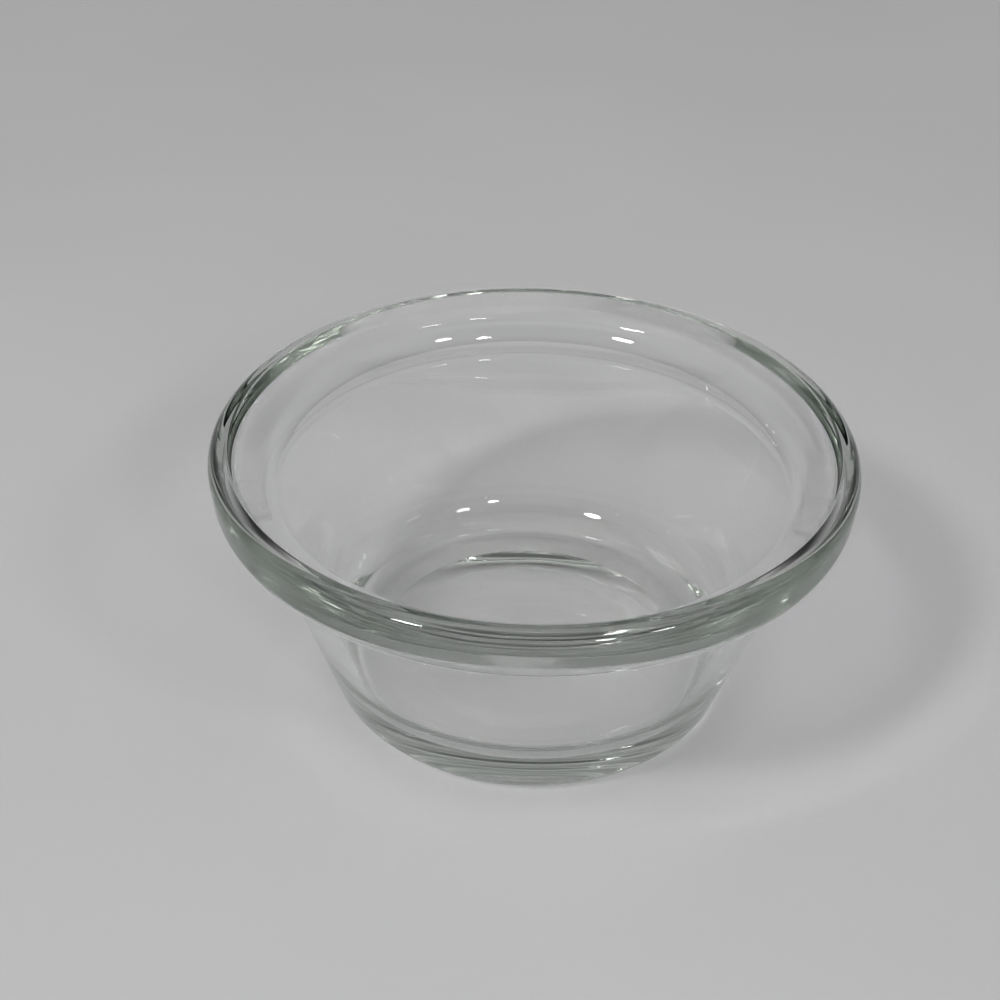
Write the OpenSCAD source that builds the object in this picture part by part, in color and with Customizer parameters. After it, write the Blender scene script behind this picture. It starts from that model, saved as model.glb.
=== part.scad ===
// Clear pressed-glass prep bowl: one solid of revolution with a thick bead round the rim,
// a straight tapering wall, a rounded heel and a foot ring round a shallow domed recess.

/* [Rim] */
// Outside diameter of the rim at its widest
rim_d = 100; // [90:1:120]
// Height of the bead's outer face, before its edges are rounded
rim_h = 7.4; // [6.5:0.1:9]
// How far the bead stands out over the top of the wall
rim_overhang = 6.7; // [6:0.1:8]
// How much smaller in radius the bead's face is at its foot, so that it leaves the mould
rim_draft = 0.5; // [0:0.1:1]
// How far the underside of the bead drops towards the wall
rim_under_drop = 3.3; // [2.5:0.1:5]
// Round of the bead's lower edge
rim_low_round = 4.2; // [3:0.1:4.6]
// Round of the lip's outer edge
rim_top_round = 2.1; // [1:0.1:2.3]
// Radius of the blend between the bead's underside and the wall
rim_under_round = 2; // [1:0.1:5]
// Width of the lip, from its outer corner to its inner corner
lip_w = 3.2; // [3:0.1:4.5]
// Round of the lip's inner edge
lip_round = 0.8; // [0.5:0.1:1.4]

/* [Wall] */
// Overall height of the bowl
bowl_h = 45; // [40:1:60]
// Thickness of the wall
wall_t = 4; // [3:0.1:4.4]
// Depth below the lip at which the inside starts to flare out to it
flare_h = 5.1; // [4:0.1:6.5]
// Radius of the blend between the flared inside of the lip and the wall
flare_round = 8; // [2:0.5:12]

/* [Base] */
// Diameter at the ground of the wall's outside, before the heel is rounded
base_d = 65; // [60:1:70]
// Round of the heel
heel_round = 3.5; // [2:0.1:4.5]
// Height of the middle of the inside floor above the ground
floor_h = 4.8; // [4.5:0.1:7]
// Angle at which the inside floor rises towards the wall
dish_angle = 7; // [4:0.5:8]
// Diameter at which the inside floor starts to rise, before the dish is blended
dish_d = 24; // [20:1:30]
// Radius of the blend that makes the floor a shallow dish
dish_round = 150; // [80:1:150]
// Radius of the blend between the inside floor and the wall
floor_round = 9; // [6:0.5:11]
// Diameter of the recess in the underside, where it meets the foot ring
recess_d = 51; // [46:1:52]
// Depth of the recess at its middle
recess_h = 1.6; // [1:0.1:2]
// Diameter at which the recess starts to slope to its edge, before the dome is blended
dome_d = 25; // [20:1:30]
// Radius of the blend that makes the recess a shallow dome
dome_round = 170; // [100:5:170]
// Round of the recess's edge
recess_round = 1.2; // [0.5:0.1:1.5]

/* [Hidden] */
$fn = 180;

rim_r = rim_d / 2;
base_r = base_d / 2;
recess_r = recess_d / 2;
dome_r = dome_d / 2;
dish_r = dish_d / 2;

// Overlap of each arc with the straight sides that it blends, so that they cross cleanly
blend_lap = 0.002;
// Most of a side's length that the rounds at its two ends may take up between them
round_share = 0.9;

// The wall's outside runs straight from the ground to the underside of the bead
rim_under_z = bowl_h - rim_h - rim_under_drop;
shoulder_r = rim_r - rim_overhang;
wall_angle = atan((shoulder_r - base_r) / rim_under_z);
// Radius at the ground of the line that the wall's inside follows
inner_base_r = base_r - wall_t / cos(wall_angle);

// The bead's face leans out by its draft, and its upper round makes the widest point
face_angle = atan(rim_draft / rim_h);
lip_outer_r = rim_r + rim_top_round * (1 / cos(face_angle) - 1 + tan(face_angle));
lip_inner_r = lip_outer_r - lip_w;

// Where the flare below the lip meets the wall's inside
flare_z = bowl_h - flare_h;
flare_r = inner_base_r + flare_z * tan(wall_angle);

// Where the rising floor meets the wall's inside
floor_edge_z = (floor_h + (inner_base_r - dish_r) * tan(dish_angle))
    / (1 - tan(wall_angle) * tan(dish_angle));
floor_edge_r = inner_base_r + floor_edge_z * tan(wall_angle);

// Corners of the section as [radius, height, round], anticlockwise from the middle of the underside
SECTION = [
    [0, recess_h, 0],
    [dome_r, recess_h, dome_round],
    [recess_r, 0, recess_round],
    [base_r, 0, heel_round],
    [shoulder_r, rim_under_z, rim_under_round],
    [lip_outer_r - rim_draft, bowl_h - rim_h, rim_low_round],
    [lip_outer_r, bowl_h, rim_top_round],
    [lip_inner_r, bowl_h, lip_round],
    [flare_r, flare_z, flare_round],
    [floor_edge_r, floor_edge_z, floor_round],
    [dish_r, floor_h, dish_round],
    [0, floor_h, 0],
];

// Place of corner i in list c, counted round the end of the list
function spot(c, i) = [c[(i + len(c)) % len(c)][0], c[(i + len(c)) % len(c)][1]];

// Direction from corner i to its neighbour, which is step places on
function side(c, i, step) = (spot(c, i + step) - spot(c, i)) / norm(spot(c, i + step) - spot(c, i));

// Positive where the outline turns left at corner i, as it does round a corner of the glass
function turn(c, i) = cross(-side(c, i, -1), side(c, i, 1));

// Half the angle between the two sides at corner i
function half_angle(c, i) = acos(side(c, i, -1) * side(c, i, 1)) / 2;

// Length of each side that the round of corner i takes up
function blend_run(c, i) = c[(i + len(c)) % len(c)][2] / tan(half_angle(c, i));

// Share of its full radius that the round of corner i can have beside its neighbours
function fitted_share(c, i) = min([
    for (step = [-1, 1])
        let (room = norm(spot(c, i + step) - spot(c, i)) * round_share)
        room / max(room, blend_run(c, i) + blend_run(c, i + step))
]);

// The same corners, with each round made to fit its sides
function fitted(c) = [for (i = [0 : len(c) - 1]) [c[i][0], c[i][1], c[i][2] * fitted_share(c, i)]];

// The two points where the arc of corner i starts and ends
function blend_ends(c, i) = [
    for (step = [-1, 1]) spot(c, i) + side(c, i, step) * blend_run(c, i)
];

// Centre of the arc of corner i
function blend_centre(c, i) =
    let (inward = side(c, i, -1) + side(c, i, 1))
    spot(c, i) + inward / norm(inward) * c[i][2] / sin(half_angle(c, i));

// The sliver between the arc of corner i and the straight line joining its ends
module blend_arc(c, i) {
    centre = blend_centre(c, i);
    ends = blend_ends(c, i);
    // The patch reaches past the places where the overlapping arc crosses the two sides
    reach = 2 * sqrt(2 * c[i][2] * blend_lap);
    patch = [ends[0] + side(c, i, -1) * reach, spot(c, i), ends[1] + side(c, i, 1) * reach];
    // The circle is turned so that it starts on the side away from the corner
    inward = centre - spot(c, i);
    intersection() {
        translate(centre) rotate(atan2(inward[1], inward[0])) circle(r = c[i][2] + blend_lap);
        polygon([for (p = patch) centre + (p - centre) * (1 + 2 * blend_lap / c[i][2])]);
    }
}

// A closed outline whose corners are rounded by true arcs
module rounded_outline(c) {
    rounds = [for (i = [0 : len(c) - 1]) if (c[i][2] > 0) i];
    difference() {
        union() {
            polygon([for (i = [0 : len(c) - 1]) each (c[i][2] > 0 ? blend_ends(c, i) : [spot(c, i)])]);
            for (i = rounds) if (turn(c, i) > 0) blend_arc(c, i);
        }
        for (i = rounds) if (turn(c, i) < 0) blend_arc(c, i);
    }
}

module bowl() {
    color([0.80, 0.86, 0.83]) rotate_extrude() rounded_outline(fitted(SECTION));
}

bowl();
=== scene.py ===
# %% [markdown]
# # A small prep bowl in clear glass
# A prep bowl holds a measured ingredient until the cook needs it. This one is pressed from clear
# glass in one go: a thick bead round the rim, a tapering wall and a foot ring. The CAD model gives
# its place and size, and this lesson gives it a fine surface, a glass finish, a table and light.

import bpy
import numpy as np
from mathutils import Matrix, Vector


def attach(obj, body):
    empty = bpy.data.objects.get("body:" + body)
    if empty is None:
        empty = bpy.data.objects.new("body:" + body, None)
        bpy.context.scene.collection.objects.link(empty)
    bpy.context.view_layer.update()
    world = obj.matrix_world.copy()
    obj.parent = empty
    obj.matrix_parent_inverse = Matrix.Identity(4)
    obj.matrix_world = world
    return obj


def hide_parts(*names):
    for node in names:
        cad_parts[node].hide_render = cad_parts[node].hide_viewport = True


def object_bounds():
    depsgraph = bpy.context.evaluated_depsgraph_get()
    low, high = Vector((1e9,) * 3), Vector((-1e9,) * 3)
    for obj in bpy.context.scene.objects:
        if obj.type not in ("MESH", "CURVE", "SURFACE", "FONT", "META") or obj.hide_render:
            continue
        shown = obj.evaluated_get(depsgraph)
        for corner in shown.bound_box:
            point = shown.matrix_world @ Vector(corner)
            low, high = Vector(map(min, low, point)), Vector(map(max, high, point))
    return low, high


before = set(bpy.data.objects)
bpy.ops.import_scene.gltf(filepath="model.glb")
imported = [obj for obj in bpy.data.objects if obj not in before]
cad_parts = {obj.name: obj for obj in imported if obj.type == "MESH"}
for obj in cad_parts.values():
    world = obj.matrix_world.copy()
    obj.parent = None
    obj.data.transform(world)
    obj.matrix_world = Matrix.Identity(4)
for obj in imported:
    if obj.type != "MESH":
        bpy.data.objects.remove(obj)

MM = 0.001
cad_low, cad_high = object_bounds()
print("CAD box in mm:", [round((b - a) / MM, 2) for a, b in zip(cad_low, cad_high)])

# %% [markdown]
# ## The section
# A pressed bowl is a solid of revolution, so one half of its cross-section says everything. The
# section is a short list of corners, each with the radius that rounds it, in the order in which the
# outline runs: from the middle of the underside, out over the foot, up the outside, over the rim and
# down the inside to the middle of the floor. The CAD solid could be shown as it is, but its facets
# would break up the light that glass bends, so the surface is worked out again and much finer.

# %% Sizes of the section
# The rim's radius and the height come from the CAD box, so that the surface stays inside it
rim_r, bowl_h = -cad_low.x, cad_high.z
rim_h, rim_overhang, rim_draft, rim_under_drop = 7.4 * MM, 6.7 * MM, 0.5 * MM, 3.3 * MM
rim_low_round, rim_top_round, rim_under_round = 4.2 * MM, 2.1 * MM, 2.0 * MM
lip_w, lip_round = 3.2 * MM, 0.8 * MM
wall_t, flare_h, flare_round = 4.0 * MM, 5.1 * MM, 8.0 * MM
base_r, heel_round = 32.5 * MM, 3.5 * MM
floor_h, dish_r, dish_round, floor_round = 4.8 * MM, 12.0 * MM, 150.0 * MM, 9.0 * MM
dish_slope = np.tan(np.radians(7))
recess_r, recess_h, recess_round = 25.5 * MM, 1.6 * MM, 1.2 * MM
dome_r, dome_round = 12.5 * MM, 170.0 * MM

# The bead's face leans out by its draft, and its upper round makes the widest point
face_angle = np.arctan(rim_draft / rim_h)
lip_r = rim_r + rim_top_round * (1 / np.cos(face_angle) - 1 + np.tan(face_angle))

# The wall's two sides are parallel straight lines, radius = base + slope * height
shoulder_r, shoulder_z = rim_r - rim_overhang, bowl_h - rim_h - rim_under_drop
wall_slope = (shoulder_r - base_r) / shoulder_z
inner_base_r = base_r - wall_t * np.hypot(1, wall_slope)
flare_r = inner_base_r + wall_slope * (bowl_h - flare_h)
floor_edge_z = (floor_h + (inner_base_r - dish_r) * dish_slope) / (1 - wall_slope * dish_slope)
floor_edge_r = inner_base_r + wall_slope * floor_edge_z
print("wall leans out by", round(float(np.degrees(np.arctan(wall_slope))), 1), "degrees")

# %% The corners and their rounds
corner_list = [
    # radius, height, round
    (0, recess_h, 0),
    (dome_r, recess_h, dome_round),
    (recess_r, 0, recess_round),
    (base_r, 0, heel_round),
    (shoulder_r, shoulder_z, rim_under_round),
    (lip_r - rim_draft, bowl_h - rim_h, rim_low_round),
    (lip_r, bowl_h, rim_top_round),
    (lip_r - lip_w, bowl_h, lip_round),
    (flare_r, bowl_h - flare_h, flare_round),
    (floor_edge_r, floor_edge_z, floor_round),
    (dish_r, floor_h, dish_round),
    (0, floor_h, 0),
]
corners, rounds = np.split(np.array(corner_list), [2], axis=1)


def unit(v):
    """Each row divided by its own length."""
    return v / np.linalg.norm(v, axis=1, keepdims=True)


def rounded_outline(corners, rounds, arc_steps, side_steps):
    """The outline as points, with arcs for corners. Where two sides meet at twice the angle h, an arc
    of radius q starts q / tan h along each side and has its centre q / sin h along the line midway.
    Points between one arc's end and the next arc's start lie on the straight side."""
    here, q = corners[1:-1], rounds[1:-1]
    back, on = unit(corners[:-2] - here), unit(corners[2:] - here)
    h = np.arccos((back * on).sum(axis=1, keepdims=True)) / 2
    centre = here + unit(back + on) * q / np.sin(h)
    start, end = here + back * q / np.tan(h) - centre, here + on * q / np.tan(h) - centre
    first = np.arctan2(start[:, 1:], start[:, :1])
    turn = (np.arctan2(end[:, 1:], end[:, :1]) - first + np.pi) % (2 * np.pi) - np.pi
    angle = first + turn * np.linspace(0, 1, arc_steps)
    arcs = centre[:, None] + q[:, None] * np.stack([np.cos(angle), np.sin(angle)], axis=2)
    share = np.linspace(0, 1, side_steps + 2)[1:-1, None]
    leave = np.concatenate([corners[:1], arcs[:, -1]])[:, None]
    reach = np.concatenate([arcs[:, 0], corners[-1:]])[:, None]
    sides = leave * (1 - share) + reach * share
    runs = np.concatenate([sides[:-1], arcs], axis=1).reshape(-1, 2)
    return np.concatenate([corners[:1], runs, sides[-1], corners[-1:]])


section = rounded_outline(corners, rounds, arc_steps=15, side_steps=8)
print("section has", len(section), "points")

# %% [markdown]
# ## Turning the section
# Blender's Spin or Screw could turn the outline, but an array does it in one line and also lets the
# wall be a little uneven, as pressed glass is: hot glass chills against the mould and keeps faint
# waves. They are only hundredths of a millimetre, and they are what breaks up the reflections.

# %% The turned surface
segments = 256
wave_h = 0.015 * MM


def wave(height, turn):
    """Unevenness of pressed glass from 0 to 1: three slow sines, each running round and up the bowl."""
    up = height / bowl_h
    total = np.sin(5 * turn + 9 * up) + np.sin(11 * turn - 14 * up + 1) + np.sin(17 * turn + 23 * up + 2)
    return 0.5 + total / 6


def turned(section, segments):
    """Vertices and faces of the section turned about Z: a point at radius r and height z goes to
    (r cos a, r sin a, z) at turn a, and r is drawn in by the waves. Both ends lie on the axis, where one
    vertex closes the surface."""
    turn = np.linspace(0, 2 * np.pi, segments, endpoint=False)
    r, z = section[1:-1, :1], section[1:-1, 1:]
    r = r - wave_h * wave(z, turn)
    grid = np.stack([r * np.cos(turn), r * np.sin(turn), z + 0 * r], axis=2)
    poles = np.array([[0, 0, section[0, 1]], [0, 0, section[-1, 1]]])
    index = np.arange(r.size).reshape(r.shape)
    ahead = np.roll(index, -1, axis=1)
    quads = np.stack([index[:-1], ahead[:-1], ahead[1:], index[1:]], axis=2).reshape(-1, 4)
    under = np.stack([ahead[0], index[0], np.full(segments, r.size)], axis=1)
    above = np.stack([index[-1], ahead[-1], np.full(segments, r.size + 1)], axis=1)
    return np.concatenate([grid.reshape(-1, 3), poles]), quads.tolist() + under.tolist() + above.tolist()


def add_piece(name, vertices, faces):
    """A smooth mesh object at the origin, linked to the scene."""
    mesh = bpy.data.meshes.new(name)
    mesh.from_pydata(vertices.tolist(), [], faces)
    mesh.polygons.foreach_set("use_smooth", np.ones(len(faces), dtype=bool))
    mesh.validate()
    piece = bpy.data.objects.new(name, mesh)
    bpy.context.scene.collection.objects.link(piece)
    return piece


bowl = add_piece("glass_bowl", *turned(section, segments))
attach(bowl, "root")
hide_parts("bowl")
print("glass_bowl has", len(bowl.data.polygons), "faces")

# %% [markdown]
# ## Shader maths in Python
# Node trees are easier to read as formulas. The small class below wraps one output socket, so that
# ordinary operators add Math nodes and one method adds any other node.


# %% A socket that can be calculated with
class Flow:
    """An output socket of a node tree that takes part in Python expressions."""

    def __init__(self, tree, socket=None):
        self.tree, self.socket = tree, socket

    def node(self, kind, settings=None, output=0, **values):
        """Adds a node of a kind: its settings come first, then each named input gets a number or a flow."""
        made = self.tree.nodes.new(kind)
        for key, value in (settings or {}).items():
            if key == "stops":
                ramp = made.color_ramp.elements
                while len(ramp) < len(value):
                    ramp.new(1.0)
                for element, (place, colour) in zip(ramp, value):
                    element.position, element.color = place, (*colour, 1)
            else:
                setattr(made, key, value)
        for key, value in values.items():
            place = int(key[1:]) if key[1:].isdigit() else key.replace("_", " ")
            if isinstance(value, Flow):
                self.tree.links.new(value.socket, made.inputs[place])
            else:
                made.inputs[place].default_value = value
        return Flow(self.tree, made.outputs[output])

    def math(self, operation, first, second):
        """One sum or product of two values, each a number or a flow."""
        return self.node("ShaderNodeMath", {"operation": operation}, _0=first, _1=second)

    def __add__(self, other): return self.math("ADD", self, other)
    def __radd__(self, other): return self.math("ADD", other, self)
    def __sub__(self, other): return self.math("SUBTRACT", self, other)
    def __rsub__(self, other): return self.math("SUBTRACT", other, self)
    def __mul__(self, other): return self.math("MULTIPLY", self, other)
    def __rmul__(self, other): return self.math("MULTIPLY", other, self)

    def step(self, low, high):
        """0 below low, 1 above high and a smooth rise between them."""
        return self.node("ShaderNodeMapRange", {"interpolation_type": "SMOOTHSTEP"},
                         Value=self, From_Min=low, From_Max=high, To_Min=0.0, To_Max=1.0)


def new_material(name):
    """A node material, with its Principled shader and a flow to start expressions from."""
    material = bpy.data.materials.new(name)
    material.use_nodes = True
    return material, material.node_tree.nodes["Principled BSDF"], Flow(material.node_tree)


print("Flow adds", ", ".join(n for n in vars(Flow) if not n.startswith("__")))

# %% [markdown]
# ## The glass
# Clear soda-lime glass bends light with an index of about 1.52, and its iron tints long paths green,
# so the tint belongs to the volume and not to the surface. Two things keep it from looking
# computed: wiped-off smears that dull the shine a little, and a foot ring scuffed by many tables.

# %% Glass finish
glass_index = 1.52
smear_rough, scuff_rough = 0.02, 0.22
scuff_h, peel_h = 0.25 * MM, 0.002 * MM


def glass_finish():
    """Clear glass: roughness = smears all over + scuffs on the lowest part of the foot ring, and a bump
    as faint as the skin that the mould leaves."""
    material, shader, flow = new_material("clear_pressed_glass")
    place = flow.node("ShaderNodeTexCoord", output=3)
    height = flow.node("ShaderNodeSeparateXYZ", output=2, Vector=place)
    smear = flow.node("ShaderNodeTexNoise", Vector=place, Scale=45.0, Detail=4.0, Distortion=1.2)
    scratch = flow.node("ShaderNodeTexNoise", Vector=place, Scale=900.0, Detail=3.0)
    scuff = (1 - height.step(0.0, scuff_h)) * scratch.step(0.45, 0.7)
    roughness = smear_rough * smear.step(0.5, 0.8) + scuff_rough * scuff
    peel = flow.node("ShaderNodeTexNoise", Vector=place, Scale=220.0, Detail=2.0)
    bump = flow.node("ShaderNodeBump", Strength=1.0, Distance=peel_h, Height=peel)
    material.node_tree.links.new(roughness.socket, shader.inputs["Roughness"])
    material.node_tree.links.new(bump.socket, shader.inputs["Normal"])
    shader.inputs["Base Color"].default_value = (1, 1, 1, 1)
    shader.inputs["IOR"].default_value = glass_index
    shader.inputs["Transmission Weight"].default_value = 1.0
    tint = flow.node("ShaderNodeVolumeAbsorption", Color=(0.90, 0.91, 0.90, 1), Density=82.0)
    output = material.node_tree.nodes["Material Output"]
    material.node_tree.links.new(tint.socket, output.inputs["Volume"])
    return material


bowl.data.materials.append(glass_finish())
print("glass finish has", len(bowl.data.materials[0].node_tree.nodes), "nodes")

# %% [markdown]
# ## The table
# Glass shows what is round it, so the table is half the picture. It is a wide pale board with a
# barely mottled matt coating, a hair below the foot so that the two surfaces don't fight.

# %% Table top
table_reach, table_gap = 4.0, 0.05 * MM


def table_finish():
    """Matt pale grey with a faint mottle."""
    material, shader, flow = new_material("matt_pale_table")
    place = flow.node("ShaderNodeTexCoord", output=3)
    mottle = flow.node("ShaderNodeTexNoise", Vector=place, Scale=7.0, Detail=3.0)
    stops = [(0.3, (0.60, 0.60, 0.605)), (0.7, (0.63, 0.63, 0.635))]
    colour = flow.node("ShaderNodeValToRGB", {"stops": stops}, Fac=mottle)
    material.node_tree.links.new(colour.socket, shader.inputs["Base Color"])
    shader.inputs["Roughness"].default_value = 0.6
    shader.inputs["Specular IOR Level"].default_value = 0.2
    return material


edge = np.array([[-1, -1, 0], [1, -1, 0], [1, 1, 0], [-1, 1, 0]]) * table_reach
table = add_piece("table_top", edge - np.array([0, 0, table_gap]), [[0, 1, 2, 3]])
table.data.materials.append(table_finish())
print("table is", 2 * table_reach, "m wide")

# %% [markdown]
# ## Light
# Glass has no colour of its own to show, and its edges appear only where it bends the view towards
# something dark. So the room is pale all round, with two dark stretches: one above the far end of the
# table, and one high in front, over the camera. Three soft lamps add the highlights.

# %% The room
even, left_lift, front_lift, overhead_lift = 0.52, 0.04, 0.12, 0.3
back_dark, front_dark = 0.38, 0.47


def room_light():
    """A pale room: an even level, with lifts to the left, to the front and overhead, less two dark
    stretches. Each stretch is a product of smooth steps, in how far back and how high up it lies."""
    world = bpy.data.worlds.new("soft_room")
    world.use_nodes = True
    bpy.context.scene.world = world
    flow = Flow(world.node_tree)
    way = flow.node("ShaderNodeTexCoord")
    right, back, up = (flow.node("ShaderNodeSeparateXYZ", output=axis, Vector=way) for axis in range(3))
    behind = back.step(0.3, 0.6) * up.step(0.15, 0.3) * (1 - up.step(0.6, 0.75))
    before = (1 - back.step(-0.45, -0.3)) * up.step(0.6, 0.75) * (1 - up.step(0.85, 0.95))
    pale = even - left_lift * right - front_lift * back + overhead_lift * up.step(0.8, 0.9)
    brightness = pale - back_dark * behind - front_dark * before
    background = world.node_tree.nodes["Background"]
    world.node_tree.links.new(brightness.socket, background.inputs["Color"])
    return world


print("room light has", len(room_light().node_tree.nodes), "nodes")

# %% The lamps
lamps = {
    # name: compass angle from the back of the bowl, height angle, distance and width in m, watts
    "key_lamp": (-135, 48, 0.8, 0.11, 1.4),
    "right_lamp": (134, 38, 1.6, 0.2, 1.8),
    "front_lamp": (155, 33, 1.2, 0.12, 1.2),
}


def towards(compass, height):
    """Unit direction at a compass angle from +Y, clockwise seen from above, and a height angle."""
    a, e = np.radians([compass, height])
    return Vector((np.sin(a) * np.cos(e), np.cos(a) * np.cos(e), np.sin(e)))


for name, (compass, height, distance, width, watts) in lamps.items():
    lamp = bpy.data.lights.new(name, "AREA")
    lamp.shape, lamp.size, lamp.energy = "DISK", width, watts
    holder = bpy.data.objects.new(name, lamp)
    holder.location = distance * towards(compass, height)
    holder.rotation_euler = towards(compass, height).to_track_quat("Z", "Y").to_euler()
    bpy.context.scene.collection.objects.link(holder)
print("lamps:", ", ".join(lamps))

# %% [markdown]
# ## Light through glass
# By default Cycles blurs the glass and cuts off bright paths once light has met a matt surface, which
# leaves the bowl standing in a solid shadow. With both limits off, and enough bounces for the light that
# runs round inside the rim, only the thick rim and heel leave soft rings on the table.

# %% Light paths
cycles = bpy.context.scene.cycles
cycles.blur_glossy = cycles.sample_clamp_indirect = 0
cycles.max_bounces = cycles.glossy_bounces = cycles.transmission_bounces = 32
print("light paths follow up to", cycles.max_bounces, "bounces")

# %% [markdown]
# ## Camera
# The camera looks down at the bowl from about an arm's length, with the rim a little off the middle
# of the frame and a slight roll, as a camera held in the hand has it.

# %% Camera
camera_distance, camera_height_angle = 232 * MM, 32.11
pan, tilt, roll = np.radians([1.23, -2.69, 1.68])
rim_centre = Vector((0, 0, bowl_h))
out = towards(180, camera_height_angle)
level = Matrix((Vector((1, 0, 0)), out.cross(Vector((1, 0, 0))), out)).transposed()
turned_by = Matrix.Rotation(pan, 3, "Y") @ Matrix.Rotation(tilt, 3, "X") @ Matrix.Rotation(roll, 3, "Z")
lens = bpy.data.cameras.new("hand_camera")
lens.lens, lens.sensor_width, lens.clip_start = 54, 36, 0.01
camera = bpy.data.objects.new("hand_camera", lens)
camera.matrix_world = Matrix.Translation(rim_centre + camera_distance * out) @ (level @ turned_by).to_4x4()
bpy.context.scene.collection.objects.link(camera)
scene = bpy.context.scene
scene.camera = camera
scene.view_settings.view_transform = "Standard"
print("camera at", [round(c, 4) for c in camera.location])

# %% [markdown]
